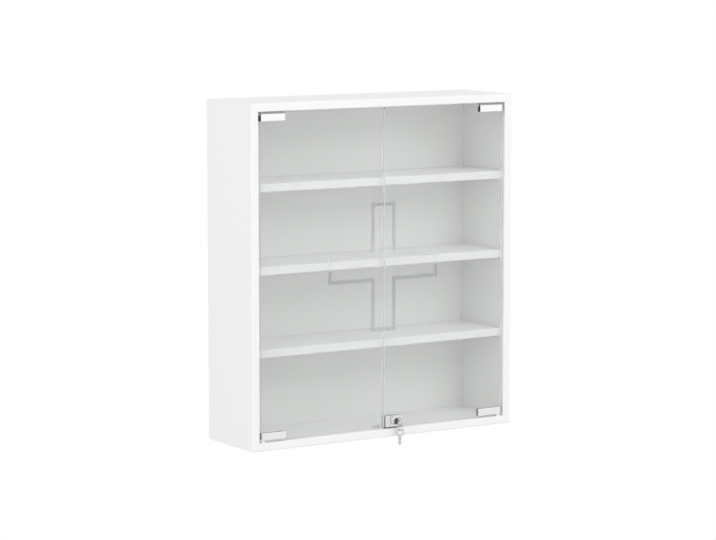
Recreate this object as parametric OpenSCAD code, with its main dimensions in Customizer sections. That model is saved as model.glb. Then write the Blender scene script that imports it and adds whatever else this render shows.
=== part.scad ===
// Wall cabinet for medicines: a mitred white carcass with three shelves,
// two inset glass doors on clamp pivots, and a key lock that throws a bolt.
// X runs to the right seen from the front, Y towards the wall, Z up.
// The origin lies in the wall plane, midway between the two keyhole hangers.

/* [Carcass] */
// Outside width of the cabinet
cabinet_w = 600; // [500:10:800]
// Outside height of the cabinet
cabinet_h = 665; // [600:5:900]
// Depth from the front edges to the wall
cabinet_d = 170; // [160:5:260]
// Thickness of the carcass boards, the shelves and the rails
board_t = 16; // [15:1:19]
// Radius on the outer front edge of each board
outer_round = 2.5; // [1:0.5:4]
// Radius on the inner front edge of each board
inner_round = 1.5; // [0.5:0.5:3]
// Flat rubbed on the outer arris of each mitre
mitre_arris = 0.6; // [0.3:0.1:1.5]

/* [Back and hanging] */
// Thickness of the back panel
back_t = 6; // [4:1:8]
// Gap between the back panel and the wall, filled by the rails
back_recess = 16; // [15:1:19]
// Depth of the groove that holds the back panel
groove_deep = 6; // [4:1:8]
// Height of the rail that hangs on the wall
upper_rail_h = 70; // [60:5:100]
// Height of the rail at the bottom
lower_rail_h = 60; // [40:5:90]
// Distance between the two keyhole hangers
hanger_pitch = 460; // [300:10:460]
// Depth of the keyhole below the top of the cabinet
hanger_drop = 40; // [38:1:50]
// Radius of the keyhole where a screw head enters
keyhole_r = 5; // [4:0.5:6]
// Width of the keyhole where a screw shank sits
keyhole_slot = 5; // [4:0.5:6]

/* [Shelves] */
// Clear height under the lowest shelf
lowest_clear = 161.4; // [120:0.2:200]
// Distance from one shelf to the next
shelf_pitch = 158.8; // [120:0.2:220]
// Gap between a shelf and each side panel
shelf_gap = 0.5; // [0.3:0.1:1.5]
// Diameter of a shelf pin
shelf_pin_d = 5; // [4:0.5:7]

/* [Glass doors] */
// Thickness of the glass
glass_t = 5; // [4:1:6]
// Gap between the two panes where the doors meet
seam_gap = 2.5; // [2:0.5:5]
// Length of a hinge clamp
clamp_l = 55.5; // [50:0.5:80]
// Height of a hinge clamp
clamp_h = 14.5; // [14:0.5:20]
// Thickness of a hinge clamp from front to rear
clamp_t = 11; // [10.8:0.1:11.2]
// Distance from the pivot to the side panel
pivot_edge = 9.5; // [9.5:0.5:14]
// Distance from the front plane of the cabinet back to the clamp
clamp_inset = 1; // [1:0.5:3]
// Bevel on the front edges of a hinge clamp
front_bevel = 1.2; // [0.5:0.1:1.5]
// Diameter of the pivot pin
pivot_d = 4; // [3:0.5:5]

/* [Lock] */
// Distance from the middle of the cabinet to the axis of the lock
lock_x = 26; // [26:1:30]
// Height of the lock axis above the cabinet floor
lock_z = 14; // [14:1:20]
// Length of the lock case and its plate
lock_l = 38; // [38:1:44]
// Height of the lock case and its plate
lock_h = 22; // [22:1:26]
// Radius at which the drive pin turns
crank_r = 7.5; // [7:0.1:7.5]
// Angle through which the key turns, half of it each side of straight down
key_turn = 90; // [80:5:90]

/* [Keys] */
// Thickness of a key
key_t = 1.8; // [1.5:0.1:2]
// Width of the grip of a key
bow_w = 17.5; // [16:0.5:20]
// Length of the grip of a key
bow_l = 16; // [15:0.5:18]
// Length of the blade of a key
blade_l = 15.6; // [15:0.2:15.6]
// Radius of the split ring to the middle of its wire
ring_r = 6.2; // [5.4:0.1:7]
// Radius of the wire of the split ring
ring_wire_r = 0.6; // [0.5:0.1:0.7]
// Turn of the spare key away from the front
spare_turn = -55; // [-90:5:-50]

/* [Hidden] */
$fn = 48;

// Where the carcass lies
front_y = -cabinet_d;
top_z = hanger_drop;
base_z = top_z - cabinet_h;
mid_z = (top_z + base_z) / 2;
inner_w = cabinet_w - 2 * board_t;
ceiling_z = top_z - board_t;
floor_z = base_z + board_t;
back_y = -back_recess - back_t;
groove_play = 0.1;
groove_shy = 0.5;

// Shelves
shelf_front_y = front_y + 14.5;
shelf_rear_gap = 0.5;
shelf_round = 1.5;
shelf_heights = [for (i = [0:2]) floor_z + lowest_clear + i * shelf_pitch];
pin_shank = 8;
pin_reach = 8;
pin_rise = 3;
pin_play = 0.3;
pin_rows = [shelf_front_y + 26, back_y - 26];

// Rails, dowels and biscuits
dowel_r = 4;
dowel_in_side = 10;
dowel_in_rail = 20;
dowel_play = 0.05;
biscuit_l = 47;
biscuit_w = 15;
biscuit_t = 4;
biscuit_play = 0.1;
biscuit_rows = [-125, -60];
biscuit_in = 11;

// Keyhole hangers
plate_w = 60;
plate_below = 10;
plate_above = 22;
plate_t = 2;
keyhole_rise = 12;
pocket_w = 36;
pocket_deep = 12;
hanger_screw_x = 24;
hanger_screw_z = 6;

// Door clamps, measured from the pivot
pivot_x = inner_w / 2 - pivot_edge;
pivot_deep = 5;
pivot_y = front_y + clamp_inset + pivot_deep;
clamp_edge_gap = 5;
tail = pivot_edge - clamp_edge_gap;
end_gap = 4;
web_t = 3;
front_leg = 1.7;
liner_t = 0.8;
liner_out = 0.5;
liner_shy = 0.3;
liner_end_out = 0.3;
buffer_t = 2.4;
clamp_front = -pivot_deep;
clamp_rear = clamp_t - pivot_deep;
glass_front = clamp_front + front_leg + liner_t;
glass_rear = glass_front + glass_t;
slot_front = glass_front - liner_t;
slot_rear = glass_rear + liner_t;
rear_bevel = 0.7;
glass_edge_gap = clamp_edge_gap + liner_t;
glass_corner = 1.5;
pane_top = ceiling_z - 2;
pane_bottom = floor_z + 1.5;
notch_top = ceiling_z - end_gap - web_t - liner_t;
notch_bottom = floor_z + end_gap + web_t + liner_t;
notch_play = 0.5;
notch_x = pivot_x + tail - clamp_l - liner_out - notch_play;
grub_r = 2;
grub_places = [10, 38];
grub_drop = clamp_h / 2 + web_t / 2;
grub_play = 0.03;
pin_in_panel = 10;
bush_wall = 1.5;
bush_flange_t = 0.8;
bush_flange_w = 1.5;
bush_deep = 12;
bush_play = 0.02;
running_play = 0.05;

// Lock: Y places of its layers
pane_front_y = pivot_y + glass_front;
pane_rear_y = pivot_y + glass_rear;
plate_rear_y = pane_front_y - liner_t;
plate_front_y = plate_rear_y - 2.3;
collar_front_y = plate_front_y - 3;
case_front_y = pane_rear_y + liner_t;
case_wall = 1.5;
nut_front_y = case_front_y + case_wall;
nut_t = 2.4;
nut_rear_y = nut_front_y + nut_t;
lever_front_y = nut_rear_y + 0.3;
lever_t = 1.8;
lever_rear_y = lever_front_y + lever_t;
bolt_front_y = lever_rear_y + 0.2;
bolt_t = 3;
bolt_rear_y = bolt_front_y + bolt_t;
cover_y = bolt_rear_y + 0.4;
cover_t = 1.2;
shell_t = 1;
pad_out = 0.6;
pad_shy = 1.6;

// Lock: places seen from the front, from its axis
axis_z = floor_z + lock_z;
case_right = lock_l - lock_x + seam_gap / 2 + 0.25;
case_left = case_right - lock_l;
case_half = lock_h / 2;
collar_r = 9;
barrel_r = 8;
plug_r = 5.5;
plug_head_r = 6.4;
plug_head_t = 1.2;
notch_r = barrel_r + 0.6;
lock_play = 0.1;
nut_r = 9.6;
crank_a = key_turn / 2;
throw = 2 * crank_r * sin(crank_a);
crank_x = crank_r * sin(crank_a);
drive_pin_r = 1.25;
drive_pin_play = 0.3;
tongue_half = 5;
tongue_left = case_left + 0.2;
bolt_right = crank_x + 2.9;
bolt_low = -case_half + shell_t + 0.3;
slide_play = 0.3;
screw_posts = [[case_right - 2.5, case_half - 3], [case_left + 3, -case_half + 3]];
post_r = 2.3;
cover_screw_r = 1.1;

// Lock: tumblers in the plug
keyway_w = 2.1;
keyway_h = 6.8;
keyway_deep = 14;
wafer_t = 0.8;
wafer_w = 4.4;
wafer_half = 4.9;
wafer_play = 0.1;
wafer_pitch = 2.6;
wafer_first = 3.4;
wafers = 4;

// Strike on the floor and keeper on the left pane
strike_x = [-4.1, -0.8];
strike_front_y = bolt_front_y - 3.4;
strike_t = 3;
strike_high = lock_z + 9;
strike_base_t = 1.5;
strike_base_x = [-9, 5];
strike_base_rear = strike_front_y + 26;
strike_screw_r = 1.5;
strike_screw_rows = [strike_front_y + 10, strike_front_y + 20];
keeper_x = [-9.6, -5.1];
keeper_half = 7.5;
keeper_rear_y = bolt_rear_y + 2.4;
keeper_play = 0.8;

// Keys: the grip is drawn from the shoulder outwards
rim_w = 2.7;
shoulder_half = 3.2;
bow_half = bow_w / 2;
eye_half = bow_half - rim_w;
bow_knee = 6.5;
eye_foot = 4.5;
eye_foot_half = 3.5;
eye_knee = 7.5;
blade_half = 3.25;
blade_tip = 1.8;
cut_depths = [0.5, 1.1, 0.3, 0.8];
cut_flat = 0.5;
plug_front_y = collar_front_y + 0.3;
shoulder_y = plug_front_y - 2;
rim_u = 9.3;
rim_hang = bow_half - rim_w / 2;
ring_lift = 2.35;
spare_gap = 0.5;
ring_y = shoulder_y - rim_u;
rim_z = axis_z - rim_hang;
ring_z = rim_z + ring_lift - ring_r;
spare_rim_z = ring_z - ring_r + ring_wire_r + spare_gap + rim_w / 2;

// Colours
white_board = [0.95, 0.95, 0.94];
bare_board = [0.80, 0.70, 0.55];
beech = [0.78, 0.62, 0.42];
clear_glass = [0.78, 0.86, 0.84, 0.35];
clear_plastic = [0.85, 0.88, 0.90, 0.5];
gasket_c = [0.10, 0.10, 0.10];
buffer_c = [0.45, 0.45, 0.45];
chrome_c = [0.82, 0.83, 0.85];
steel_c = [0.62, 0.63, 0.65];
zinc_c = [0.70, 0.70, 0.72];
brass_c = [0.78, 0.65, 0.36];
nylon_c = [0.93, 0.93, 0.91];

// The arc that rounds corner p, which lies between points a and b, to radius r
function corner_arc(a, p, b, r, n) =
    r <= 0 ? [p] :
    let (
        u = (a - p) / norm(a - p),
        v = (b - p) / norm(b - p),
        half = acos(u * v) / 2,
        centre = p + (u + v) / norm(u + v) * (r / sin(half)),
        from = p + u * (r / tan(half)) - centre,
        to = p + v * (r / tan(half)) - centre,
        start = atan2(from[1], from[0]),
        sweep = (atan2(to[1], to[0]) - start + 540) % 360 - 180
    )
    [for (i = [0:n]) centre + r * [cos(start + sweep * i / n), sin(start + sweep * i / n)]];

// An outline from [x, y, radius] corners
function rounded(c, n = 6) = [
    for (i = [0:len(c) - 1])
        let (
            a = c[(i + len(c) - 1) % len(c)],
            p = c[i],
            b = c[(i + 1) % len(c)]
        )
        each corner_arc([a[0], a[1]], [p[0], p[1]], [b[0], b[1]], p[2], n)
];

// An outline drawn in Y and Z, made solid along X from x0 to x1
module along_x(x0, x1) {
    translate([x0, 0, 0])
        rotate([90, 0, 90])
            linear_extrude(x1 - x0)
                children();
}

// An outline drawn in X and Z, made solid along Y from y0 to y1
module along_y(y0, y1) {
    translate([0, y1, 0])
        rotate([90, 0, 0])
            linear_extrude(y1 - y0)
                children();
}

// A round bar along Y
module bar_y(r, y0, y1) {
    translate([0, y0, 0])
        rotate([-90, 0, 0])
            cylinder(r = r, h = y1 - y0);
}

// A box between two corners
module block(a, b) {
    translate(a)
        cube(b - a);
}

module both_sides() {
    children();
    mirror([1, 0, 0])
        children();
}

// ---- Carcass -------------------------------------------------------------

// One board, outer face at z = 0, lying along X, mitred at both ends.
// The groove holds the back panel.
module mitred_board(long) {
    groove_y = [back_y - groove_play, -back_recess + groove_play];
    difference() {
        along_x(-long / 2, long / 2)
            polygon(rounded([
                [front_y, 0, outer_round],
                [0, 0, 0.4],
                [0, board_t, 0.4],
                [groove_y[1], board_t, 0],
                [groove_y[1], board_t - groove_deep, 0],
                [groove_y[0], board_t - groove_deep, 0],
                [groove_y[0], board_t, 0],
                [front_y, board_t, inner_round]
            ]));
        for (s = [-1, 1])
            scale([s, 1, 1])
                translate([long / 2, 0, 0]) {
                    rotate([0, -45, 0])
                        block([0, front_y - 1, -60], [60, 1, 60]);
                    rotate([0, 45, 0])
                        block([-mitre_arris, front_y - 1, -60], [60, 1, 60]);
                    for (y = biscuit_rows)
                        translate([-biscuit_in, y, biscuit_in])
                            biscuit(biscuit_play);
                }
    }
}

// A pressed beech biscuit that crosses a mitre at right angles
module biscuit(play) {
    arc_r = (biscuit_l * biscuit_l / 4 + biscuit_w * biscuit_w / 4) / biscuit_w;
    rotate([0, -45, 0])
        translate([0, 0, -biscuit_t / 2 - play])
            linear_extrude(biscuit_t + 2 * play)
                intersection() {
                    translate([arc_r - biscuit_w / 2 - play, 0])
                        circle(r = arc_r + play);
                    translate([-arc_r + biscuit_w / 2 + play, 0])
                        circle(r = arc_r + play);
                }
}

module side_board() {
    translate([-cabinet_w / 2, 0, mid_z])
        rotate([0, 90, 0])
            mitred_board(cabinet_h);
}

// The dowels of the rails, at one side panel: play widens them into holes
module side_dowels(play) {
    rows = [
        ceiling_z - 15, ceiling_z - upper_rail_h + 15,
        floor_z + lower_rail_h - 15, floor_z + 15
    ];
    for (z = rows)
        translate([-inner_w / 2 - dowel_in_side, -board_t / 2, z])
            rotate([0, 90, 0])
                cylinder(r = dowel_r + play, h = dowel_in_side + dowel_in_rail);
}

module side_panel_left() {
    difference() {
        side_board();
        side_dowels(dowel_play);
        for (z = shelf_heights, y = pin_rows)
            translate([-inner_w / 2 - pin_shank, y, z + pin_rise])
                rotate([0, 90, 0])
                    cylinder(r = shelf_pin_d / 2 + 0.02, h = pin_shank + 1);
    }
}

module left_side_panel() {
    color(white_board)
        side_panel_left();
}

module right_side_panel() {
    color(white_board)
        mirror([1, 0, 0])
            side_panel_left();
}

// The blind holes for the two pivot bushes in the top or the bottom board
module bush_holes() {
    both_sides()
        translate([pivot_x, pivot_y, board_t - bush_deep])
            cylinder(r = pivot_d / 2 + bush_wall + bush_play, h = bush_deep + 1);
}

module top_panel() {
    color(white_board)
        translate([0, 0, top_z])
            mirror([0, 0, 1])
                difference() {
                    mitred_board(cabinet_w);
                    bush_holes();
                }
}

module bottom_panel() {
    color(white_board)
        translate([0, 0, base_z])
            difference() {
                mitred_board(cabinet_w);
                bush_holes();
                for (y = strike_screw_rows)
                    translate([0, y, board_t - 10])
                        cylinder(r = strike_screw_r, h = 11);
            }
}

module corner_biscuits() {
    color(beech)
        both_sides()
            for (s = [-1, 1], y = biscuit_rows)
                translate([0, 0, mid_z])
                    scale([1, 1, s])
                        translate([cabinet_w / 2 - biscuit_in, y, -cabinet_h / 2 + biscuit_in])
                            biscuit(0);
}

module back_panel() {
    reach = groove_deep - groove_shy;
    color(white_board)
        block(
            [-inner_w / 2 - reach, back_y, floor_z - reach],
            [inner_w / 2 + reach, -back_recess, ceiling_z + reach]
        );
}

// ---- Rails and keyhole hangers ------------------------------------------

module upper_back_rail() {
    color(bare_board)
        difference() {
            block(
                [-inner_w / 2, -board_t, ceiling_z - upper_rail_h],
                [inner_w / 2, 0, ceiling_z]
            );
            both_sides() {
                side_dowels(dowel_play);
                translate([hanger_pitch / 2, 0, 0]) {
                    block(
                        [-plate_w / 2 - 0.1, -plate_t, -plate_below - 0.1],
                        [plate_w / 2 + 0.1, 1, plate_above + 0.1]
                    );
                    block(
                        [-pocket_w / 2, -pocket_deep, -plate_below + 2],
                        [pocket_w / 2, 1, plate_above - 2]
                    );
                    hanger_screw_pair(0);
                }
            }
        }
}

module lower_back_rail() {
    color(bare_board)
        difference() {
            block(
                [-inner_w / 2, -board_t, floor_z],
                [inner_w / 2, 0, floor_z + lower_rail_h]
            );
            both_sides()
                side_dowels(dowel_play);
        }
}

module rail_dowels() {
    color(beech)
        both_sides()
            side_dowels(0);
}

// A countersunk wood screw, head at y = 0, going in along -Y
module wood_screw(r, long, play = 0) {
    rotate([90, 0, 0]) {
        cylinder(r1 = 2 * r + play, r2 = r + play, h = r + 0.01);
        cylinder(r = r + play, h = long - r);
        translate([0, 0, long - r])
            cylinder(r1 = r + play, r2 = 0.3, h = r);
    }
}

module hanger_screw_pair(play) {
    for (s = [-1, 1])
        translate([s * hanger_screw_x, 0, hanger_screw_z])
            wood_screw(1.75, 14, play);
}

// A steel plate whose keyhole lets a screw head in and then holds its shank
module hanger_plate() {
    difference() {
        along_y(-plate_t, 0)
            difference() {
                polygon(rounded([
                    [-plate_w / 2, -plate_below, 4],
                    [plate_w / 2, -plate_below, 4],
                    [plate_w / 2, plate_above, 4],
                    [-plate_w / 2, plate_above, 4]
                ]));
                circle(r = keyhole_r);
                translate([0, keyhole_rise])
                    circle(r = keyhole_slot / 2);
                translate([-keyhole_slot / 2, 0])
                    square([keyhole_slot, keyhole_rise]);
            }
        translate([0, 0.01, 0])
            hanger_screw_pair(0.02);
    }
}

module left_hanger_plate() {
    color(steel_c)
        translate([-hanger_pitch / 2, 0, 0])
            hanger_plate();
}

module right_hanger_plate() {
    color(steel_c)
        translate([hanger_pitch / 2, 0, 0])
            hanger_plate();
}

module hanger_screws() {
    color(steel_c)
        both_sides()
            translate([hanger_pitch / 2, 0, 0])
                difference() {
                    hanger_screw_pair(0);
                    for (s = [-1, 1])
                        translate([s * hanger_screw_x, 0, hanger_screw_z])
                            cross_recess(1.2);
                }
}

// A cross recess pressed into a screw head, from y = 0 inwards
module cross_recess(size) {
    for (a = [0, 90])
        rotate([0, a, 0])
            block([-size, -1, -0.3], [size, 1, 0.3]);
}

// ---- Shelves -------------------------------------------------------------

module shelf_pins() {
    color(steel_c)
        both_sides()
            for (z = shelf_heights, y = pin_rows)
                translate([-inner_w / 2 - pin_shank + 0.2, y, z + pin_rise])
                    rotate([0, 90, 0])
                        cylinder(r = shelf_pin_d / 2, h = pin_shank + pin_reach - 0.2);
}

// One loose shelf: slots in its underside hide the pins it rests on
module shelf(i) {
    half = inner_w / 2 - shelf_gap;
    slot_h = pin_rise + shelf_pin_d / 2 + 0.05;
    color(white_board)
        translate([0, 0, shelf_heights[i]])
            difference() {
                along_x(-half, half)
                    polygon(rounded([
                        [shelf_front_y, 0, shelf_round],
                        [back_y - shelf_rear_gap, 0, 0.5],
                        [back_y - shelf_rear_gap, board_t, 0.5],
                        [shelf_front_y, board_t, shelf_round]
                    ]));
                both_sides()
                    for (y = pin_rows)
                        block(
                            [-half - 1, y - shelf_pin_d / 2 - pin_play, -1],
                            [-half + pin_reach + 1, y + shelf_pin_d / 2 + pin_play, slot_h]
                        );
            }
}

module upper_shelf() {
    shelf(2);
}

module middle_shelf() {
    shelf(1);
}

module lower_shelf() {
    shelf(0);
}

// ---- Door clamps ---------------------------------------------------------

// Puts the upper right clamp, drawn from its pivot and its top face, at a corner.
// side is 1 on the right and -1 on the left, end is 1 at the top and -1 at the bottom.
module at_corner(side, end) {
    z = end > 0 ? ceiling_z : floor_z;
    translate([side * pivot_x, pivot_y, z - end * end_gap])
        scale([-side, 1, end])
            children();
}

// The U-shaped clamp: the web lies across the edge of the glass
module clamp() {
    f = front_bevel;
    r = rear_bevel;
    difference() {
        intersection() {
            along_x(-tail, clamp_l - tail)
                polygon([
                    [clamp_front, -clamp_h + f], [clamp_front + f, -clamp_h],
                    [slot_front, -clamp_h], [slot_front, -web_t],
                    [slot_rear, -web_t], [slot_rear, -clamp_h],
                    [clamp_rear - r, -clamp_h], [clamp_rear, -clamp_h + r],
                    [clamp_rear, -r], [clamp_rear - r, 0],
                    [clamp_front + f, 0], [clamp_front, -f]
                ]);
            translate([0, 0, -clamp_h - 1])
                linear_extrude(clamp_h + 2)
                    polygon([
                        [-tail, clamp_front + f], [-tail + f, clamp_front],
                        [clamp_l - tail - f, clamp_front], [clamp_l - tail, clamp_front + f],
                        [clamp_l - tail, clamp_rear - r], [clamp_l - tail - r, clamp_rear],
                        [-tail + r, clamp_rear], [-tail, clamp_rear - r]
                    ]);
        }
        translate([0, 0, -web_t - 1])
            cylinder(r = pivot_d / 2 + bush_play, h = web_t + 2);
        for (x = grub_places)
            translate([x, 0, -grub_drop])
                bar_y(grub_r, slot_rear - 0.5, clamp_rear + 1);
    }
}

// The rubber gasket between the clamp and the glass: closed at the hinge end
module liner() {
    low = -clamp_h + liner_shy;
    end_x = -tail - liner_end_out;
    along_x(end_x, clamp_l - tail + liner_out)
        polygon([
            [slot_front, low], [glass_front, low],
            [glass_front, -web_t - liner_t], [glass_rear, -web_t - liner_t],
            [glass_rear, low], [slot_rear, low],
            [slot_rear, -web_t], [slot_front, -web_t]
        ]);
    block([end_x, slot_front, low], [-tail + liner_t, slot_rear, -web_t]);
}

// The soft strip on top of an upper clamp
module buffer() {
    difference() {
        translate([-tail, clamp_front + front_bevel, 0])
            cube([clamp_l, clamp_t - front_bevel - rear_bevel, buffer_t]);
        translate([0, 0, -1])
            cylinder(r = pivot_d / 2 + bush_play, h = buffer_t + 2);
    }
}

// The steel pin that turns in the bush: its tip is bevelled
module pivot_pin() {
    r = pivot_d / 2;
    tip = end_gap + pin_in_panel;
    rotate_extrude()
        polygon([
            [0, -web_t], [r, -web_t], [r, tip - 0.6], [r - 0.6, tip], [0, tip]
        ]);
}

// A grub screw with a hexagon socket, flush in the rear leg of the clamp
module grub_screws() {
    for (x = grub_places)
        translate([x, 0, -grub_drop])
            difference() {
                bar_y(grub_r - grub_play, slot_rear, clamp_rear - 0.1);
                translate([0, slot_rear + 1, 0])
                    rotate([-90, 0, 0])
                        cylinder(r = 1.15, h = 3, $fn = 6);
            }
}

// A flanged nylon bush, pressed into the board: the door stands on the flange of the lower one
module bush(end) {
    r = pivot_d / 2;
    flange = end > 0 ? end_gap - bush_flange_t : running_play;
    rotate_extrude()
        polygon([
            [r + running_play, flange],
            [r + bush_wall + bush_flange_w, flange],
            [r + bush_wall + bush_flange_w, end_gap],
            [r + bush_wall, end_gap],
            [r + bush_wall, end_gap + bush_deep - 0.5],
            [r + running_play, end_gap + bush_deep - 0.5]
        ]);
}

module pivot_bushes() {
    color(nylon_c)
        for (side = [-1, 1], end = [-1, 1])
            at_corner(side, end)
                bush(end);
}

module left_upper_clamp() {
    color(chrome_c)
        at_corner(-1, 1)
            clamp();
}

module left_lower_clamp() {
    color(chrome_c)
        at_corner(-1, -1)
            clamp();
}

module right_upper_clamp() {
    color(chrome_c)
        at_corner(1, 1)
            clamp();
}

module right_lower_clamp() {
    color(chrome_c)
        at_corner(1, -1)
            clamp();
}

module left_upper_liner() {
    color(gasket_c)
        at_corner(-1, 1)
            liner();
}

module left_lower_liner() {
    color(gasket_c)
        at_corner(-1, -1)
            liner();
}

module right_upper_liner() {
    color(gasket_c)
        at_corner(1, 1)
            liner();
}

module right_lower_liner() {
    color(gasket_c)
        at_corner(1, -1)
            liner();
}

module left_buffer() {
    color(buffer_c)
        at_corner(-1, 1)
            buffer();
}

module right_buffer() {
    color(buffer_c)
        at_corner(1, 1)
            buffer();
}

module left_pivot_pins() {
    color(steel_c)
        for (end = [-1, 1])
            at_corner(-1, end)
                pivot_pin();
}

module right_pivot_pins() {
    color(steel_c)
        for (end = [-1, 1])
            at_corner(1, end)
                pivot_pin();
}

module left_clamp_screws() {
    color(steel_c)
        for (end = [-1, 1])
            at_corner(-1, end)
                grub_screws();
}

module right_clamp_screws() {
    color(steel_c)
        for (end = [-1, 1])
            at_corner(1, end)
                grub_screws();
}

// ---- Glass ---------------------------------------------------------------

// The right-hand pane: the left one is its mirror image.
// Both hinge corners are cut out for the clamps.
module pane() {
    outer_x = inner_w / 2 - glass_edge_gap;
    inner_x = seam_gap / 2;
    r = glass_corner;
    polygon(rounded([
        [inner_x, pane_bottom, r], [notch_x, pane_bottom, r],
        [notch_x, notch_bottom, r], [outer_x, notch_bottom, r],
        [outer_x, notch_top, r], [notch_x, notch_top, r],
        [notch_x, pane_top, r], [inner_x, pane_top, r]
    ]));
}

module left_glass() {
    color(clear_glass)
        along_y(pane_front_y, pane_rear_y)
            mirror([1, 0])
                pane();
}

// The right pane has a notch in its lower edge for the lock cylinder
module right_glass() {
    color(clear_glass)
        along_y(pane_front_y, pane_rear_y)
            difference() {
                pane();
                translate([lock_x, axis_z])
                    circle(r = notch_r);
                translate([lock_x - notch_r, pane_bottom - 1])
                    square([2 * notch_r, axis_z - pane_bottom + 1]);
            }
}

// ---- Lock ----------------------------------------------------------------

module at_lock() {
    translate([lock_x, 0, axis_z])
        children();
}

module lock_outline(shy = 0, r = 1) {
    polygon(rounded([
        [case_left + shy, -case_half + shy, r],
        [case_right - shy, -case_half + shy, r],
        [case_right - shy, case_half - shy, r],
        [case_left + shy, case_half - shy, r]
    ], 4));
}

// The chrome front plate: two steps of outline make its bevel
module lock_plate() {
    bevel = 0.7;
    color(chrome_c)
        at_lock()
            difference() {
                intersection() {
                    along_y(plate_front_y, plate_rear_y)
                        lock_outline();
                    along_x(case_left, case_right)
                        polygon([
                            [plate_rear_y, -case_half], [plate_rear_y, case_half],
                            [plate_front_y + bevel, case_half], [plate_front_y, case_half - bevel],
                            [plate_front_y, -case_half + bevel], [plate_front_y + bevel, -case_half]
                        ]);
                    translate([0, 0, -case_half])
                        linear_extrude(2 * case_half)
                            polygon([
                                [case_left, plate_rear_y], [case_right, plate_rear_y],
                                [case_right, plate_front_y + bevel],
                                [case_right - bevel, plate_front_y],
                                [case_left + bevel, plate_front_y],
                                [case_left, plate_front_y + bevel]
                            ]);
                }
                bar_y(barrel_r + lock_play, plate_front_y - 1, plate_rear_y + 1);
            }
}

// Thin rubber pads between the lock and the glass. The front one stands out
// to the left and below, the rear one is smaller than the case.
module lock_pads() {
    left = case_left - pad_out;
    low = -case_half - pad_out;
    color(gasket_c)
        at_lock() {
            along_y(plate_rear_y, pane_front_y)
                difference() {
                    polygon(rounded([
                        [left, low, 1], [case_right, low, 1],
                        [case_right, case_half, 1], [left, case_half, 1]
                    ], 4));
                    circle(r = notch_r);
                }
            along_y(pane_rear_y, case_front_y)
                difference() {
                    lock_outline(pad_shy);
                    circle(r = notch_r);
                }
        }
}

// The die-cast case behind the glass, open to the rear.
// A rib keeps the bolt down and two posts take the cover screws.
module lock_case() {
    inner = case_half - shell_t;
    color(zinc_c)
        at_lock()
            difference() {
                union() {
                    difference() {
                        along_y(case_front_y, cover_y)
                            lock_outline();
                        along_y(nut_front_y, cover_y + 1)
                            lock_outline(shell_t, 0.6);
                    }
                    for (p = screw_posts)
                        translate([p[0], 0, p[1]])
                            bar_y(post_r, nut_front_y - 0.5, cover_y);
                    block(
                        [case_left + shell_t + 5, bolt_front_y, tongue_half + slide_play],
                        [-4, cover_y, inner + 0.2]
                    );
                }
                bar_y(barrel_r + lock_play, case_front_y - 1, nut_front_y + 1);
                block(
                    [case_left - 1, bolt_front_y - slide_play, -tongue_half - slide_play],
                    [case_left + shell_t + 1, bolt_rear_y + slide_play, tongue_half + slide_play]
                );
                for (p = screw_posts)
                    translate([p[0], 0, p[1]])
                        bar_y(cover_screw_r, nut_front_y + 1, cover_y + 1);
            }
}

module lock_cover() {
    color(zinc_c)
        at_lock()
            difference() {
                along_y(cover_y, cover_y + cover_t)
                    lock_outline();
                for (p = screw_posts)
                    translate([p[0], cover_y + cover_t + 0.01, p[1]])
                        wood_screw(cover_screw_r, 6, 0.02);
            }
}

module lock_cover_screws() {
    color(steel_c)
        at_lock()
            for (p = screw_posts)
                translate([p[0], cover_y + cover_t, p[1]])
                    difference() {
                        wood_screw(cover_screw_r - 0.02, 6);
                        cross_recess(1);
                    }
}

// The fixed barrel: its collar shows in front, its bore holds the plug
module cylinder_housing() {
    lip = 0.8;
    color(chrome_c)
        at_lock()
            rotate([-90, 0, 0])
                rotate_extrude()
                    polygon([
                        [plug_head_r + 0.1, collar_front_y],
                        [collar_r - lip, collar_front_y],
                        [collar_r, collar_front_y + lip],
                        [collar_r, plate_front_y],
                        [barrel_r, plate_front_y],
                        [barrel_r, nut_rear_y],
                        [plug_r + running_play, nut_rear_y],
                        [plug_r + running_play, plug_front_y + plug_head_t + 0.05],
                        [plug_head_r + 0.1, plug_front_y + plug_head_t + 0.05]
                    ]);
}

// A ring nut with two flats for a spanner: it pulls the barrel against the plate
module cylinder_nut() {
    color(brass_c)
        at_lock()
            intersection() {
                difference() {
                    bar_y(nut_r, nut_front_y, nut_rear_y);
                    bar_y(barrel_r + 0.02, nut_front_y - 1, nut_rear_y + 1);
                }
                along_y(nut_front_y - 1, nut_rear_y + 1)
                    square([2 * nut_r + 1, 18.4], center = true);
            }
}

// The Y place of a tumbler's front face
function wafer_y(i) = plug_front_y + wafer_first + i * wafer_pitch;

// The plug turns in the barrel: it has the keyway, slots for the tumblers and a square tail
module lock_plug() {
    color(chrome_c)
        at_lock()
            difference() {
                union() {
                    bar_y(plug_head_r, plug_front_y, plug_front_y + plug_head_t);
                    bar_y(plug_r, plug_front_y + plug_head_t - 0.5, nut_rear_y + 0.15);
                    block([-2.5, nut_rear_y, -2.5], [2.5, lever_rear_y, 2.5]);
                }
                block(
                    [-keyway_w / 2, plug_front_y - 1, -keyway_h / 2],
                    [keyway_w / 2, plug_front_y + keyway_deep, keyway_h / 2]
                );
                for (i = [0:wafers - 1])
                    block(
                        [-wafer_w / 2 - wafer_play, wafer_y(i), -plug_r - 1],
                        [wafer_w / 2 + wafer_play, wafer_y(i) + wafer_t + wafer_play, plug_r + 1]
                    );
            }
}

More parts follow.
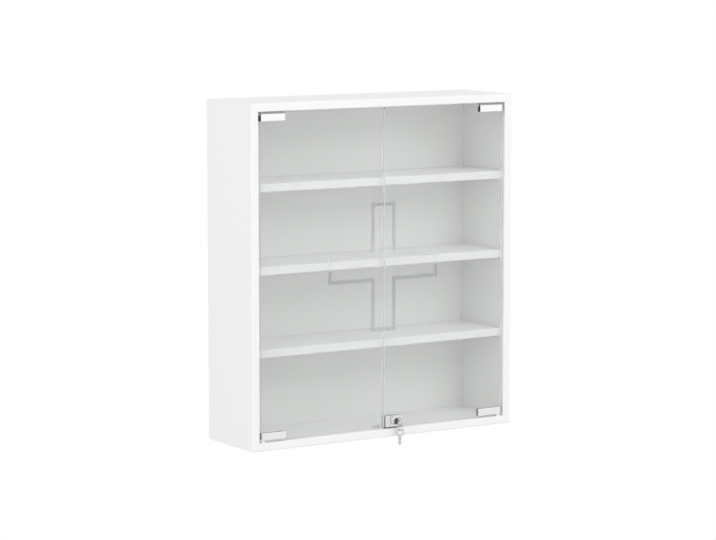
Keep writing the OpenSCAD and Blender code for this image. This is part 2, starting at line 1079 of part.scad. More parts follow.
// Brass tumblers, each with a window for the key
module lock_wafers() {
    color(brass_c)
        at_lock()
            for (i = [0:wafers - 1])
                difference() {
                    block(
                        [-wafer_w / 2, wafer_y(i) + wafer_play / 2, -wafer_half],
                        [wafer_w / 2, wafer_y(i) + wafer_t + wafer_play / 2, wafer_half]
                    );
                    block(
                        [-keyway_w / 2, wafer_y(i) - 1, -keyway_h / 2],
                        [keyway_w / 2, wafer_y(i) + 2, keyway_h / 2]
                    );
                }
}

// Points from the lock axis towards the drive pin in its rest place
module towards_pin() {
    at_lock()
        rotate([0, -crank_a, 0])
            children();
}

// The lever on the plug's tail: a round hub that narrows to the drive pin
module drive_lever() {
    hub_r = 4.6;
    end_r = 2.1;
    flank = asin((hub_r - end_r) / crank_r);
    color(steel_c)
        towards_pin()
            difference() {
                along_y(lever_front_y, lever_rear_y)
                    union() {
                        circle(r = hub_r);
                        translate([0, -crank_r])
                            circle(r = end_r);
                        polygon([
                            [hub_r * cos(flank), -hub_r * sin(flank)],
                            [-hub_r * cos(flank), -hub_r * sin(flank)],
                            [-end_r * cos(flank), -crank_r - end_r * sin(flank)],
                            [end_r * cos(flank), -crank_r - end_r * sin(flank)]
                        ]);
                    }
                rotate([0, crank_a, 0])
                    block([-2.55, lever_front_y - 1, -2.55], [2.55, lever_rear_y + 1, 2.55]);
                translate([0, 0, -crank_r])
                    bar_y(0.8, lever_front_y - 1, lever_rear_y + 1);
            }
}

// The shouldered pin riveted into the lever: it runs in the notch of the bolt
module drive_pin() {
    color(steel_c)
        towards_pin()
            translate([0, 0, -crank_r]) {
                bar_y(0.78, lever_front_y, lever_rear_y + 0.2);
                bar_y(drive_pin_r, lever_rear_y, bolt_rear_y - 0.3);
            }
}

// The flat bolt: a notch open at the bottom takes the drive pin
module lock_bolt() {
    notch = drive_pin_r + drive_pin_play;
    notch_top = -crank_r * cos(crank_a) + drive_pin_r + 0.3;
    heel_left = -3;
    color(steel_c)
        at_lock()
            along_y(bolt_front_y, bolt_rear_y)
                polygon(rounded([
                    [tongue_left, -tongue_half, 1.2],
                    [heel_left - 4, -tongue_half, 0],
                    [heel_left, bolt_low, 0.8],
                    [crank_x - notch, bolt_low, 0],
                    [crank_x - notch, notch_top, 0],
                    [crank_x + notch, notch_top, 0],
                    [crank_x + notch, bolt_low, 0],
                    [bolt_right, bolt_low, 0],
                    [bolt_right, tongue_half, 0.8],
                    [tongue_left, tongue_half, 1.2]
                ], 4));
}

// The strike on the cabinet floor: the bolt passes behind its post
module floor_strike() {
    top = floor_z + strike_high;
    color(white_board)
        difference() {
            union() {
                block(
                    [strike_base_x[0], strike_front_y, floor_z],
                    [strike_base_x[1], strike_base_rear, floor_z + strike_base_t]
                );
                block(
                    [strike_x[0], strike_front_y, floor_z],
                    [strike_x[1], strike_front_y + strike_t, top]
                );
                along_x(strike_x[0], strike_x[1])
                    polygon([
                        [strike_front_y + 1, floor_z + 1],
                        [strike_front_y + 11, floor_z + 1],
                        [strike_front_y + strike_t, floor_z + lock_z - tongue_half - 1.5],
                        [strike_front_y + 1, floor_z + lock_z - tongue_half - 1.5]
                    ]);
            }
            for (y = strike_screw_rows)
                translate([0, y, floor_z + strike_base_t + 0.01])
                    rotate([90, 0, 0])
                        wood_screw(strike_screw_r, 10, 0.02);
        }
}

module strike_screws() {
    color(steel_c)
        for (y = strike_screw_rows)
            translate([0, y, floor_z + strike_base_t])
                rotate([90, 0, 0])
                    difference() {
                        wood_screw(strike_screw_r - 0.02, 10);
                        cross_recess(1);
                    }
}

// A clear block bonded to the left pane: the bolt enters its window
module left_keeper() {
    color(clear_plastic)
        at_lock()
            translate([-lock_x, 0, 0])
                difference() {
                    along_x(keeper_x[0], keeper_x[1])
                        polygon(rounded([
                            [pane_rear_y, -keeper_half, 0],
                            [keeper_rear_y, -keeper_half, 1.5],
                            [keeper_rear_y, keeper_half, 1.5],
                            [pane_rear_y, keeper_half, 0]
                        ], 4));
                    block(
                        [
                            keeper_x[0] - 1,
                            bolt_front_y - keeper_play,
                            -tongue_half - keeper_play
                        ],
                        [
                            keeper_x[1] + 1,
                            bolt_rear_y + keeper_play,
                            tongue_half + keeper_play
                        ]
                    );
                }
}

// ---- Keys ----------------------------------------------------------------

// A key lying in X and Z of its own: the shoulder at 0, the grip up, the blade down
module key_blank() {
    steps = len(cut_depths);
    color(zinc_c)
        along_y(-key_t / 2, key_t / 2)
            difference() {
                union() {
                    polygon(rounded([
                        [-shoulder_half, 0, 0.6],
                        [shoulder_half, 0, 0.6],
                        [bow_half, bow_knee, 4],
                        [bow_half, bow_l, 6],
                        [-bow_half, bow_l, 6],
                        [-bow_half, bow_knee, 4]
                    ]));
                    polygon([
                        [blade_half, 1], [-blade_half, 1],
                        [-blade_half, -blade_l + blade_tip], [-blade_half + blade_tip, -blade_l],
                        [blade_half - blade_tip, -blade_l], [blade_half, -blade_l + blade_tip]
                    ]);
                }
                polygon(rounded([
                    [-eye_foot_half, eye_foot, 1.2],
                    [eye_foot_half, eye_foot, 1.2],
                    [eye_half, eye_knee, 2.5],
                    [eye_half, bow_l - rim_w, 3.4],
                    [-eye_half, bow_l - rim_w, 3.4],
                    [-eye_half, eye_knee, 2.5]
                ]));
                for (i = [0:steps - 1], s = [-1, 1])
                    translate([s * blade_half, -blade_l + blade_tip + 2 + i * wafer_pitch])
                        polygon([
                            [s * 0.1, -cut_depths[i] - cut_flat], [s * 0.1, cut_depths[i] + cut_flat],
                            [-s * cut_depths[i], cut_flat], [-s * cut_depths[i], -cut_flat]
                        ]);
            }
}

// The key in the lock: its grip points out to the front, edge up
module key() {
    at_lock()
        translate([0, shoulder_y, 0])
            rotate([90, 0, 0])
                rotate([0, 0, 90])
                    key_blank();
}

// A closed ring of wire that hangs from the lower rim of the key's grip
module key_ring() {
    color(steel_c)
        translate([lock_x, ring_y, ring_z])
            rotate([90, 0, 0])
                rotate_extrude()
                    translate([ring_r, 0])
                        circle(r = ring_wire_r);
}

// The spare key hangs by the far rim of its grip
module spare_key() {
    translate([lock_x, ring_y, spare_rim_z - bow_l + rim_w / 2])
        rotate([0, 0, spare_turn])
            key_blank();
}

left_side_panel();
right_side_panel();
top_panel();
bottom_panel();
corner_biscuits();
back_panel();
upper_back_rail();
lower_back_rail();
rail_dowels();
left_hanger_plate();
right_hanger_plate();
hanger_screws();
shelf_pins();
upper_shelf();
middle_shelf();
lower_shelf();
pivot_bushes();
floor_strike();
strike_screws();
left_glass();
left_upper_clamp();
left_lower_clamp();
left_upper_liner();
left_lower_liner();
left_buffer();
left_pivot_pins();
left_clamp_screws();
left_keeper();
right_glass();
right_upper_clamp();
right_lower_clamp();
right_upper_liner();
right_lower_liner();
right_buffer();
right_pivot_pins();
right_clamp_screws();
lock_plate();
lock_pads();
lock_case();
lock_cover();
lock_cover_screws();
cylinder_housing();
cylinder_nut();
lock_plug();
lock_wafers();
drive_lever();
drive_pin();
lock_bolt();
key();
key_ring();
spare_key();
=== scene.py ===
# Looks for the lockable medicine cabinet: the finish of every piece, the
# ground edges and the etched cross of its glass doors, and a white studio.
import math

import bmesh
import bpy
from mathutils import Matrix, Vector


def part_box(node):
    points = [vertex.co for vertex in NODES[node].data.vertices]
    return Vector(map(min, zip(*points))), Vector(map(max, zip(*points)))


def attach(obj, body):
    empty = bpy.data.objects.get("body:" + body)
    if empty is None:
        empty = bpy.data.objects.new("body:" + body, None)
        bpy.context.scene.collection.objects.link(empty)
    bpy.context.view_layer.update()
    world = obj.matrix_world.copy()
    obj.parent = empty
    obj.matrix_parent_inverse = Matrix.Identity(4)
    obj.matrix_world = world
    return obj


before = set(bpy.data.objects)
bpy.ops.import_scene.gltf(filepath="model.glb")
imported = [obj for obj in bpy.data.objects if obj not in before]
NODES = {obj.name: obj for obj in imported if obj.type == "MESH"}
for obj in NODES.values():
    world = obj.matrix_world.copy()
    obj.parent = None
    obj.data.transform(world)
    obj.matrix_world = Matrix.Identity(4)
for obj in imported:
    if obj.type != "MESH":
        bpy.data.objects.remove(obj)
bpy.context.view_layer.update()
MM = 0.001


# ---- Camera --------------------------------------------------------------
# Solved from the straight edges of the cabinet: it stands to the left of the
# front and a little above the top, with a long lens.
CAMERA_AT = (-2.8220, -4.5280, 0.3530)
CAMERA_PITCH = 82.8956
CAMERA_HEADING = -32.3412
LENS_MM = 135.024
SENSOR_MM = 36
SEES_FROM = 0.05
SEES_TO = 60

camera_data = bpy.data.cameras.new("camera")
camera_data.lens = LENS_MM
camera_data.sensor_width = SENSOR_MM
camera_data.clip_start = SEES_FROM
camera_data.clip_end = SEES_TO
camera = bpy.data.objects.new("camera", camera_data)
camera.location = CAMERA_AT
camera.rotation_euler = (math.radians(CAMERA_PITCH), 0, math.radians(CAMERA_HEADING))
bpy.context.scene.collection.objects.link(camera)
bpy.context.scene.camera = camera


# ---- White studio --------------------------------------------------------
# A white surround that lights the cabinet from all sides. What the camera,
# mirrors and glass see of it is pure white; what lights the boards is graded
# from below to above.
SURROUND_BELOW = 0.71
SURROUND_ABOVE = 0.60

scene = bpy.context.scene
scene.view_settings.view_transform = "Standard"
world = bpy.data.worlds.new("studio")
scene.world = world
world.use_nodes = True
sky = world.node_tree
sky.nodes.clear()
direction = sky.nodes.new("ShaderNodeTexCoord")
split = sky.nodes.new("ShaderNodeSeparateXYZ")
grade = sky.nodes.new("ShaderNodeMapRange")
grade.inputs["From Min"].default_value = -1
grade.inputs["From Max"].default_value = 1
grade.inputs["To Min"].default_value = SURROUND_BELOW
grade.inputs["To Max"].default_value = SURROUND_ABOVE
light = sky.nodes.new("ShaderNodeBackground")
white = sky.nodes.new("ShaderNodeBackground")
white.inputs["Color"].default_value = (1, 1, 1, 1)
path = sky.nodes.new("ShaderNodeLightPath")
camera_or_gloss = sky.nodes.new("ShaderNodeMath")
camera_or_gloss.operation = "MAXIMUM"
seen = sky.nodes.new("ShaderNodeMath")
seen.operation = "MAXIMUM"
choose = sky.nodes.new("ShaderNodeMixShader")
world_out = sky.nodes.new("ShaderNodeOutputWorld")
for a, b in (
    (direction.outputs["Generated"], split.inputs[0]),
    (split.outputs["Z"], grade.inputs["Value"]),
    (grade.outputs[0], light.inputs["Color"]),
    (path.outputs["Is Camera Ray"], camera_or_gloss.inputs[0]),
    (path.outputs["Is Glossy Ray"], camera_or_gloss.inputs[1]),
    (camera_or_gloss.outputs[0], seen.inputs[0]),
    (path.outputs["Is Transmission Ray"], seen.inputs[1]),
    (seen.outputs[0], choose.inputs[0]),
    (light.outputs[0], choose.inputs[1]),
    (white.outputs[0], choose.inputs[2]),
    (choose.outputs[0], world_out.inputs["Surface"]),
):
    sky.links.new(a, b)


# ---- Lamps ---------------------------------------------------------------
# One wide lamp above in front, which reaches the shelves through the glass, a
# weaker one for the left side, and a dim one low in front for the lowest shelf.
LAMPS = {
    # name: (place, what it looks at, size, power)
    "key_lamp": ((0.7, -3.0, 2.3), (0, -0.1, -0.3), 2.4, 51),
    "side_lamp": ((-3.4, -0.9, 0.4), (-0.3, -0.1, -0.3), 2.4, 33),
    "low_lamp": ((0.3, -3.2, -1.6), (0, -0.1, -0.5), 1.6, 7),
}
for name, (at, target, size, power) in LAMPS.items():
    lamp_data = bpy.data.lights.new(name, "AREA")
    lamp_data.size = size
    lamp_data.energy = power
    lamp = bpy.data.objects.new(name, lamp_data)
    lamp.location = at
    lamp.rotation_euler = (Vector(target) - Vector(at)).to_track_quat("-Z", "Y").to_euler()
    lamp.visible_glossy = False
    scene.collection.objects.link(lamp)


# ---- Flags ---------------------------------------------------------------
# Grey and black boards that only mirror-like surfaces see. They give the
# bright metal its tones: the low one for the lower clamps and the lock, the
# others for the bevels that look down and to the left.
FLAGS = {
    # name: (centre, width, height, turn about X, turn about Z, glow)
    "flag_low": ((1.9, -3.1, -1.9), 5.0, 2.2, 90, 0, 0.83),
    "flag_below": ((0.3, -1.6, -2.9), 5.0, 1.4, -40, 0, 0.015),
    "flag_left": ((-3.2, -2.1, -0.05), 1.6, 0.9, 90, -57, 0.02),
    "flag_left_low": ((-3.2, -2.1, -1.1), 1.6, 1.2, 90, -57, 0.6),
}


def flag_material(name, glow):
    mat = bpy.data.materials.new(name)
    mat.use_nodes = True
    shader = mat.node_tree.nodes["Principled BSDF"]
    shader.inputs["Base Color"].default_value = (0, 0, 0, 1)
    shader.inputs["Specular IOR Level"].default_value = 0
    shader.inputs["Emission Color"].default_value = (1, 1, 1, 1)
    shader.inputs["Emission Strength"].default_value = glow
    return mat


for name, (at, wide, high, turn_x, turn_z, glow) in FLAGS.items():
    bpy.ops.mesh.primitive_plane_add(size=1, location=at)
    flag = bpy.context.object
    flag.name = name
    flag.scale = (wide, high, 1)
    flag.rotation_euler = (math.radians(turn_x), 0, math.radians(turn_z))
    flag.data.materials.append(flag_material(name, glow))
    flag.visible_camera = False
    flag.visible_diffuse = False
    flag.visible_transmission = False
    flag.visible_shadow = False
    flag.visible_volume_scatter = False


# ---- Carcass and shelves -------------------------------------------------
# Particle board wrapped in white satin foil: the four mitred boards, the
# back panel in their grooves and the three loose shelves. The hot press
# leaves a fine grain in the foil.
FOIL_DARK = (0.935, 0.935, 0.932)
FOIL_PALE = (0.95, 0.95, 0.947)
MOTTLE_DETAIL = 3
RELIEF_DEPTH = 0.5 * MM


def mottle_group():
    """Two colours and two roughnesses, mixed by a noise in object space."""
    group = bpy.data.node_groups.new("mottle", "ShaderNodeTree")
    sockets = (
        ("Dark", "INPUT", "NodeSocketColor"),
        ("Pale", "INPUT", "NodeSocketColor"),
        ("Smooth", "INPUT", "NodeSocketFloat"),
        ("Rough", "INPUT", "NodeSocketFloat"),
        ("Scale", "INPUT", "NodeSocketFloat"),
        ("Stretch", "INPUT", "NodeSocketVector"),
        ("Colour", "OUTPUT", "NodeSocketColor"),
        ("Roughness", "OUTPUT", "NodeSocketFloat"),
        ("Relief", "OUTPUT", "NodeSocketFloat"),
    )
    for label, side, kind in sockets:
        group.interface.new_socket(label, in_out=side, socket_type=kind)
    given = group.nodes.new("NodeGroupInput")
    result = group.nodes.new("NodeGroupOutput")
    coords = group.nodes.new("ShaderNodeTexCoord")
    stretch = group.nodes.new("ShaderNodeVectorMath")
    stretch.operation = "MULTIPLY"
    noise = group.nodes.new("ShaderNodeTexNoise")
    noise.inputs["Detail"].default_value = MOTTLE_DETAIL
    colours = group.nodes.new("ShaderNodeMix")
    colours.data_type = "RGBA"
    roughness = group.nodes.new("ShaderNodeMapRange")
    for a, b in (
        (coords.outputs["Object"], stretch.inputs[0]),
        (given.outputs["Stretch"], stretch.inputs[1]),
        (stretch.outputs[0], noise.inputs["Vector"]),
        (given.outputs["Scale"], noise.inputs["Scale"]),
        (noise.outputs["Fac"], colours.inputs["Factor"]),
        (given.outputs["Dark"], colours.inputs["A"]),
        (given.outputs["Pale"], colours.inputs["B"]),
        (noise.outputs["Fac"], roughness.inputs["Value"]),
        (given.outputs["Smooth"], roughness.inputs["To Min"]),
        (given.outputs["Rough"], roughness.inputs["To Max"]),
        (colours.outputs["Result"], result.inputs["Colour"]),
        (roughness.outputs[0], result.inputs["Roughness"]),
        (noise.outputs["Fac"], result.inputs["Relief"]),
    ):
        group.links.new(a, b)
    return group


MOTTLE = mottle_group()


def finish(name, dark, pale, rough, scale, stretch=(1, 1, 1), bump=0.0, **sockets):
    """A Principled material on the mottle. Other sockets are set on the shader.

    dark and pale are the mottle's colours, rough its lowest and highest
    roughness, scale its noise in cells per metre and stretch the axes' shares.
    """
    mat = bpy.data.materials.new(name)
    mat.use_nodes = True
    tree = mat.node_tree
    shader = tree.nodes["Principled BSDF"]
    for socket, value in sockets.items():
        shader.inputs[socket.replace("_", " ")].default_value = value
    mottle = tree.nodes.new("ShaderNodeGroup")
    mottle.node_tree = MOTTLE
    mottle.inputs["Dark"].default_value = (*dark, 1)
    mottle.inputs["Pale"].default_value = (*pale, 1)
    mottle.inputs["Smooth"].default_value = rough[0]
    mottle.inputs["Rough"].default_value = rough[1]
    mottle.inputs["Scale"].default_value = scale
    mottle.inputs["Stretch"].default_value = stretch
    tree.links.new(mottle.outputs["Colour"], shader.inputs["Base Color"])
    tree.links.new(mottle.outputs["Roughness"], shader.inputs["Roughness"])
    if bump:
        relief = tree.nodes.new("ShaderNodeBump")
        relief.inputs["Strength"].default_value = bump
        relief.inputs["Distance"].default_value = RELIEF_DEPTH
        tree.links.new(mottle.outputs["Relief"], relief.inputs["Height"])
        tree.links.new(relief.outputs[0], shader.inputs["Normal"])
    return mat


def dress(mat, *names):
    """Puts one material on the CAD nodes named."""
    for name in names:
        slots = NODES[name].data.materials
        if not slots:
            slots.append(mat)
        for i in range(len(slots)):
            slots[i] = mat


white_foil = finish(
    "white_foil", dark=FOIL_DARK, pale=FOIL_PALE, rough=(0.42, 0.5), scale=60, bump=0.02
)
dress(white_foil, "left_side_panel", "right_side_panel", "top_panel", "bottom_panel")
dress(white_foil, "back_panel", "upper_shelf", "middle_shelf", "lower_shelf")


# ---- Back rails ----------------------------------------------------------
# Bare particle board behind the back panel: pressed flakes a few millimetres
# long, in several browns. The wall hides it.
FLAKES_PER_M = 420
FLAKE_STRETCH = (0.35, 1, 1)
FLAKE_BROWNS = (
    # share of the flakes below it, colour
    (0.0, (0.47, 0.34, 0.21)),
    (0.35, (0.63, 0.49, 0.33)),
    (0.75, (0.74, 0.61, 0.44)),
    (1.0, (0.82, 0.71, 0.55)),
)


def flake_board(name):
    """Each cell of a stretched Voronoi pattern is a flake with a brown of its own.

    The browns take the place of the mottle's colours, which gives the rest.
    """
    mat = finish(
        name, dark=(0, 0, 0), pale=(1, 1, 1), rough=(0.7, 0.85), scale=300,
        stretch=FLAKE_STRETCH, bump=0.3
    )
    tree = mat.node_tree
    shader = tree.nodes["Principled BSDF"]
    coords = tree.nodes.new("ShaderNodeTexCoord")
    stretch = tree.nodes.new("ShaderNodeMapping")
    stretch.inputs["Scale"].default_value = FLAKE_STRETCH
    flakes = tree.nodes.new("ShaderNodeTexVoronoi")
    flakes.inputs["Scale"].default_value = FLAKES_PER_M
    tone = tree.nodes.new("ShaderNodeSeparateColor")
    browns = tree.nodes.new("ShaderNodeValToRGB")
    stops = browns.color_ramp.elements
    for i, (place, colour) in enumerate(FLAKE_BROWNS):
        stop = stops[i] if i < len(stops) else stops.new(place)
        stop.position = place
        stop.color = (*colour, 1)
    tree.links.new(coords.outputs["Object"], stretch.inputs["Vector"])
    tree.links.new(stretch.outputs[0], flakes.inputs["Vector"])
    tree.links.new(flakes.outputs["Color"], tone.inputs[0])
    tree.links.new(tone.outputs[0], browns.inputs[0])
    tree.links.new(browns.outputs[0], shader.inputs["Base Color"])
    return mat


dress(flake_board("raw_board"), "upper_back_rail", "lower_back_rail")


# ---- Biscuits and dowels -------------------------------------------------
# Pressed beech, glued in: biscuits across the mitres, dowels in the ends of
# the rails. The grain runs up and down.
BEECH_STRETCH = (1, 1, 0.12)

beech = finish(
    "beech", dark=(0.52, 0.36, 0.21), pale=(0.68, 0.50, 0.32), rough=(0.6, 0.8), scale=900,
    stretch=BEECH_STRETCH, bump=0.2
)
dress(beech, "corner_biscuits", "rail_dowels")


# ---- Hangers, their screws and the shelf pins ----------------------------
# Plated steel: two keyhole plates let into the upper rail with a screw at
# each end, and twelve pins pressed into the side panels under the shelves.
STEEL_STRETCH = (1, 1, 0.1)

steel = finish(
    "steel", dark=(0.50, 0.51, 0.52), pale=(0.66, 0.67, 0.68), rough=(0.25, 0.4), scale=400,
    stretch=STEEL_STRETCH, Metallic=1
)
dress(steel, "left_hanger_plate", "right_hanger_plate", "hanger_screws", "shelf_pins")


# ---- Glass doors ---------------------------------------------------------
# Clear float glass of 5 mm with a slight grey-green tint. Lamps and the
# surround shine through it on to the shelves.
GLASS_TINT = (0.90, 0.908, 0.903)
GLASS_IOR = 1.5


def clear_finish(name, dark, pale, rough, scale, ior, tint):
    """Glass or clear plastic that casts a tinted light instead of a shadow."""
    mat = finish(name, dark, pale, rough, scale, IOR=ior, Transmission_Weight=1)
    tree = mat.node_tree
    shader = tree.nodes["Principled BSDF"]
    out = tree.nodes["Material Output"]
    ray = tree.nodes.new("ShaderNodeLightPath")
    clear = tree.nodes.new("ShaderNodeBsdfTransparent")
    clear.inputs["Color"].default_value = (*tint, 1)
    mix = tree.nodes.new("ShaderNodeMixShader")
    tree.links.new(ray.outputs["Is Shadow Ray"], mix.inputs[0])
    tree.links.new(shader.outputs[0], mix.inputs[1])
    tree.links.new(clear.outputs[0], mix.inputs[2])
    tree.links.new(mix.outputs[0], out.inputs["Surface"])
    return mat


pane = clear_finish(
    "pane", dark=(0.81, 0.82, 0.812), pale=(0.83, 0.84, 0.832), rough=(0.0, 0.004), scale=4,
    ior=GLASS_IOR, tint=GLASS_TINT
)
dress(pane, "left_glass", "right_glass")


# ---- Ground edges of the panes -------------------------------------------
# The narrow faces of the glass: on the hinge sides they are matt from
# grinding between the clamps. At the seam the right pane's is matt too, and
# the left pane's is polished clear.
EDGE_FILM = 0.1 * MM
EDGE_LIFT = 0.05 * MM
# The strip at the seam stops this far short of the pane's rounded corners
SEAM_SHORT = 2 * MM
BOX_FACES = ((0, 1, 3, 2), (4, 6, 7, 5), (0, 4, 5, 1), (2, 3, 7, 6), (0, 2, 6, 4), (1, 5, 7, 3))

ground_edge = finish(
    "ground_edge", dark=(0.87, 0.90, 0.89), pale=(0.91, 0.94, 0.93), rough=(0.5, 0.6), scale=200
)


def edge_strip(name, door, out, low, high):
    """A strip over the edge of a door's pane that faces out along X, from low to high."""
    lo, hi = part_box(door + "_glass")
    x = (lo if out < 0 else hi)[0] + out * EDGE_LIFT
    xs = sorted((x, x + out * EDGE_FILM))
    mesh = bpy.data.meshes.new(name)
    corners = [(x, y, z) for x in xs for y in (lo[1], hi[1]) for z in (low, high)]
    mesh.from_pydata(corners, [], BOX_FACES)
    mesh.materials.append(ground_edge)
    strip = bpy.data.objects.new(name, mesh)
    scene.collection.objects.link(strip)
    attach(strip, door + "_door")


for door, out in (("left", -1), ("right", 1)):
    above_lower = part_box(door + "_lower_clamp")[1][2]
    below_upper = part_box(door + "_upper_clamp")[0][2]
    edge_strip(door + "_hinge_edge", door, out, above_lower, below_upper)
seam_lo, seam_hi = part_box("right_glass")
edge_strip("right_seam_edge", "right", -1, seam_lo[2] + SEAM_SHORT, seam_hi[2] - SEAM_SHORT)


# ---- Hinge clamps --------------------------------------------------------
# Polished chrome on die-cast bodies. Each grips a cut-out corner of a pane
# between two legs, without a hole in the glass.
chrome = finish(
    "chrome", dark=(0.95, 0.953, 0.955), pale=(0.98, 0.98, 0.982), rough=(0.05, 0.12), scale=150,
    Metallic=1
)
dress(chrome, "left_upper_clamp", "left_lower_clamp", "right_upper_clamp", "right_lower_clamp")


# ---- Gaskets and buffers of the clamps -----------------------------------
# Black rubber between metal and glass, where the lower one also carries the
# pane. The lower liners are a lighter grey than the upper ones: painted light,
# for the brighter light that falls on them. A grey strip lies on each upper
# clamp, in its gap to the top panel, and its grey is painted shade for the
# shadow in that gap.
gasket = finish(
    "gasket", dark=(0.05, 0.05, 0.05), pale=(0.07, 0.07, 0.07), rough=(0.6, 0.75), scale=300
)
dress(gasket, "left_upper_liner", "right_upper_liner")
# Painted light and shade: lighter than the gasket on the lower liners, and a shadow grey on the
# buffers in the gap.
soft_grey = finish(
    "soft_grey", dark=(0.30, 0.30, 0.30), pale=(0.36, 0.36, 0.36), rough=(0.7, 0.85), scale=300
)
dress(soft_grey, "left_lower_liner", "right_lower_liner", "left_buffer", "right_buffer")


# ---- Pivots of the doors -------------------------------------------------
# Steel pins held in the clamps turn in flanged nylon bushes, pressed into
# the top and the bottom board. Grub screws in the rear legs grip the glass.
nylon = finish(
    "nylon", dark=(0.83, 0.83, 0.81), pale=(0.88, 0.88, 0.865), rough=(0.4, 0.5), scale=200
)
dress(nylon, "pivot_bushes")
dress(steel, "left_pivot_pins", "right_pivot_pins", "left_clamp_screws", "right_clamp_screws")


# ---- Lock, what shows in front -------------------------------------------
# A satin chrome plate and barrel on thin rubber pads, clamped through the
# notch of the right pane. The turning plug is coloured near black.
satin_chrome = finish(
    "satin_chrome", dark=(0.84, 0.84, 0.845), pale=(0.89, 0.89, 0.895), rough=(0.08, 0.15),
    scale=200, Metallic=1
)
dress(satin_chrome, "lock_plate", "cylinder_housing")
# Near black on the plug's face, where the front of the lock shows a dark patch.
black_coat = finish(
    "black_coat", dark=(0.09, 0.09, 0.09), pale=(0.13, 0.13, 0.13), rough=(0.35, 0.5), scale=300
)
dress(black_coat, "lock_plug")
dress(gasket, "lock_pads")


# ---- Lock, behind the glass ----------------------------------------------
# A lacquered die-cast case and cover hold the steel bolt and its drive lever.
# The ring nut and the wafers are brass.
zinc = finish(
    "zinc", dark=(0.70, 0.70, 0.71), pale=(0.78, 0.78, 0.79), rough=(0.4, 0.5), scale=300,
    bump=0.1, Metallic=0.3
)
dress(zinc, "lock_case", "lock_cover")
dress(steel, "lock_cover_screws", "drive_lever", "drive_pin", "lock_bolt")
brass = finish(
    "brass", dark=(0.66, 0.48, 0.20), pale=(0.78, 0.60, 0.30), rough=(0.25, 0.35), scale=300,
    Metallic=1
)
dress(brass, "cylinder_nut", "lock_wafers")


# ---- Strike and keeper ---------------------------------------------------
# The bolt passes behind a white-coated steel post on the cabinet floor and
# into the window of a clear block, bonded to the left pane. The block is clear
# by alpha, because two refracting faces would lie in one plane.
CLEAR_SHOWS = 0.22

white_coat = finish(
    "white_coat", dark=(0.87, 0.87, 0.865), pale=(0.90, 0.90, 0.895), rough=(0.35, 0.45),
    scale=500, bump=0.1
)
dress(white_coat, "floor_strike")
dress(steel, "strike_screws")
clear_plastic = finish(
    "clear_plastic", dark=(0.86, 0.88, 0.89), pale=(0.92, 0.94, 0.95), rough=(0.05, 0.12),
    scale=80, Alpha=CLEAR_SHOWS
)
dress(clear_plastic, "left_keeper")


# ---- Keys ----------------------------------------------------------------
# Stamped brass with a nickel coat, a little dulled by hands. The spare hangs
# from the key in the lock by a split ring.
nickel = finish(
    "nickel", dark=(0.60, 0.60, 0.60), pale=(0.70, 0.70, 0.70), rough=(0.22, 0.32), scale=250,
    Metallic=1
)
dress(nickel, "key", "key_ring", "spare_key")


# ---- Etched cross --------------------------------------------------------
# The outline of a cross with equal arms, etched across the seam on the inner
# face of both panes: one flat band for each pane, which blurs what is behind.
CROSS_CENTRE_Z = -288 * MM
ARM_LONG = 126.5 * MM
ARM_HALF = 28 * MM
LINE_WIDTH = 7.5 * MM
FILM = 0.15 * MM
FILM_GAP = 0.02 * MM
SEAM_HALF = 1.25 * MM
# A square corner is this much wider along its mitre than the line is
MITRE = math.sqrt(2)
# Near that of air, so the film blurs what is behind it and hardly bends it
FILM_IOR = 1.05
FILM_TINT = (0.9, 0.9, 0.9)
# The lowest and highest mm that the table of strengths is spread over
LINE_LOW = -422
LINE_HIGH = -162
# At the heights where the lit shelf edges are seen through the line, its grey is painted out to
# white: painted light.
LINE_GREY_PAINTED_OUT_AT_SHELVES = (
    # height in mm, how much of the etched line's grey shows there
    (-417, 0.55),
    (-405, 0.8),
    (-382, 1.0),
    (-290, 1.0),
    (-288, 0.0),
    (-268, 0.0),
    (-262, 0.1),
    (-252, 0.75),
    (-227, 0.85),
    (-207, 1.0),
)


def etched_finish(name):
    """Frosted glass whose grey is painted out to white at the heights of the lit shelf edges seen
    through it: painted light.
    """
    mat = clear_finish(
        name, dark=(0.72, 0.73, 0.725), pale=(0.76, 0.77, 0.765), rough=(0.3, 0.34), scale=900,
        ior=FILM_IOR, tint=FILM_TINT
    )
    tree = mat.node_tree
    shader = tree.nodes["Principled BSDF"]
    grey = shader.inputs["Base Color"].links[0].from_socket
    coords = tree.nodes.new("ShaderNodeTexCoord")
    axes = tree.nodes.new("ShaderNodeSeparateXYZ")
    height = tree.nodes.new("ShaderNodeMapRange")
    height.inputs["From Min"].default_value = LINE_LOW * MM
    height.inputs["From Max"].default_value = LINE_HIGH * MM
    strength = tree.nodes.new("ShaderNodeValToRGB")
    stops = strength.color_ramp.elements
    stops.remove(stops[1])
    for i, (z, amount) in enumerate(LINE_GREY_PAINTED_OUT_AT_SHELVES):
        place = (z - LINE_LOW) / (LINE_HIGH - LINE_LOW)
        stop = stops[0] if i == 0 else stops.new(place)
        stop.position = place
        stop.color = (amount, amount, amount, 1)
    painted_shelf_light = tree.nodes.new("ShaderNodeMix")
    painted_shelf_light.data_type = "RGBA"
    painted_shelf_light.inputs["A"].default_value = (1, 1, 1, 1)
    tree.links.new(coords.outputs["Object"], axes.inputs[0])
    tree.links.new(axes.outputs["Z"], height.inputs["Value"])
    tree.links.new(height.outputs[0], strength.inputs[0])
    tree.links.new(strength.outputs[0], painted_shelf_light.inputs["Factor"])
    tree.links.new(grey, painted_shelf_light.inputs["B"])
    tree.links.new(painted_shelf_light.outputs["Result"], shader.inputs["Base Color"])
    return mat


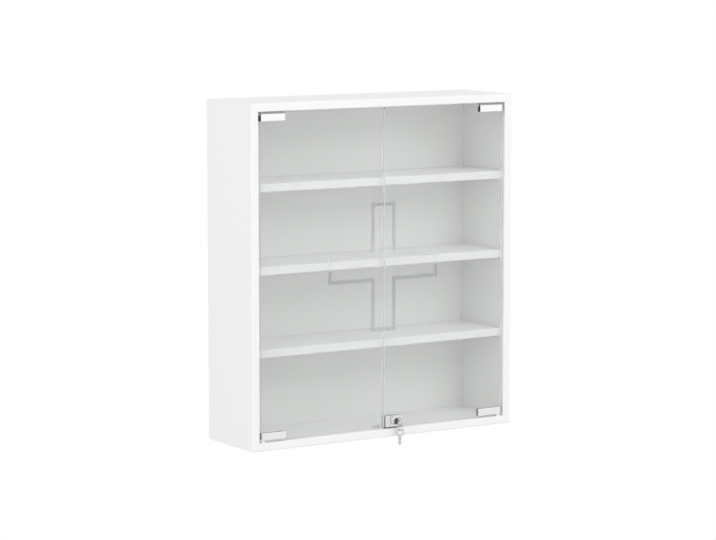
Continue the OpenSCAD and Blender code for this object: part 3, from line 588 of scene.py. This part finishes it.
def band_tree():
    """Lays a flat band along a path of square corners, as wide there as between them."""
    tree = bpy.data.node_groups.new("etched_band", "GeometryNodeTree")
    for label, side, kind in (
        ("Path", "INPUT", "NodeSocketGeometry"),
        ("Line Width", "INPUT", "NodeSocketFloat"),
        ("Film Thickness", "INPUT", "NodeSocketFloat"),
        ("Finish", "INPUT", "NodeSocketMaterial"),
        ("Band", "OUTPUT", "NodeSocketGeometry"),
    ):
        tree.interface.new_socket(label, in_out=side, socket_type=kind)
    given = tree.nodes.new("NodeGroupInput")
    result = tree.nodes.new("NodeGroupOutput")
    line = tree.nodes.new("GeometryNodeMeshToCurve")
    ends = tree.nodes.new("GeometryNodeCurveEndpointSelection")
    corners = tree.nodes.new("FunctionNodeBooleanMath")
    corners.operation = "NOT"
    mitre = tree.nodes.new("ShaderNodeMath")
    mitre.operation = "MULTIPLY_ADD"
    mitre.inputs[1].default_value = MITRE - 1
    mitre.inputs[2].default_value = 1
    face_front = tree.nodes.new("GeometryNodeSetCurveNormal")
    face_front.mode = "FREE"
    face_front.inputs["Normal"].default_value = (0, 1, 0)
    section = tree.nodes.new("GeometryNodeCurvePrimitiveQuadrilateral")
    sweep = tree.nodes.new("GeometryNodeCurveToMesh")
    sweep.inputs["Fill Caps"].default_value = True
    coat = tree.nodes.new("GeometryNodeSetMaterial")
    realize = tree.nodes.new("GeometryNodeRealizeInstances")
    for a, b in (
        (given.outputs["Path"], line.inputs[0]),
        (line.outputs[0], face_front.inputs["Curve"]),
        (ends.outputs[0], corners.inputs[0]),
        (corners.outputs[0], mitre.inputs[0]),
        (mitre.outputs[0], sweep.inputs["Scale"]),
        (face_front.outputs[0], sweep.inputs["Curve"]),
        (given.outputs["Film Thickness"], section.inputs["Width"]),
        (given.outputs["Line Width"], section.inputs["Height"]),
        (section.outputs[0], sweep.inputs["Profile Curve"]),
        (sweep.outputs[0], coat.inputs["Geometry"]),
        (given.outputs["Finish"], coat.inputs["Material"]),
        (coat.outputs[0], realize.inputs[0]),
        (realize.outputs[0], result.inputs["Band"]),
    ):
        tree.links.new(a, b)
    return tree


def half_cross():
    """The middle of the etched line on one side of the seam, from the top round to the bottom."""
    long = ARM_LONG - LINE_WIDTH / 2
    half = ARM_HALF - LINE_WIDTH / 2
    upper = [(SEAM_HALF, long), (half, long), (half, half), (long, half)]
    return upper + [(x, -z) for x, z in reversed(upper)]


def etch(name, door, side, tree, mat):
    """The half of the cross on a door's pane, on the side of X that side says."""
    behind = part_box(door + "_glass")[1][1] + FILM_GAP + FILM * MITRE / 2
    points = [(side * x, behind, CROSS_CENTRE_Z + z) for x, z in half_cross()]
    mesh = bpy.data.meshes.new(name)
    mesh.from_pydata(points, [(i, i + 1) for i in range(len(points) - 1)], [])
    band = bpy.data.objects.new(name, mesh)
    scene.collection.objects.link(band)
    modifier = band.modifiers.new("band", "NODES")
    modifier.node_group = tree
    inputs = {item.name: item.identifier for item in tree.interface.items_tree}
    modifier[inputs["Line Width"]] = LINE_WIDTH
    modifier[inputs["Film Thickness"]] = FILM
    modifier[inputs["Finish"]] = mat
    swept = bpy.data.meshes.new_from_object(
        band.evaluated_get(bpy.context.evaluated_depsgraph_get())
    )
    band.modifiers.clear()
    band.data = swept
    shell = bmesh.new()
    shell.from_mesh(swept)
    bmesh.ops.recalc_face_normals(shell, faces=shell.faces)
    shell.to_mesh(swept)
    shell.free()
    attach(band, door + "_door")


BAND = band_tree()
frost = etched_finish("frost")
etch("cross_left", "left", -1, BAND, frost)
etch("cross_right", "right", 1, BAND, frost)
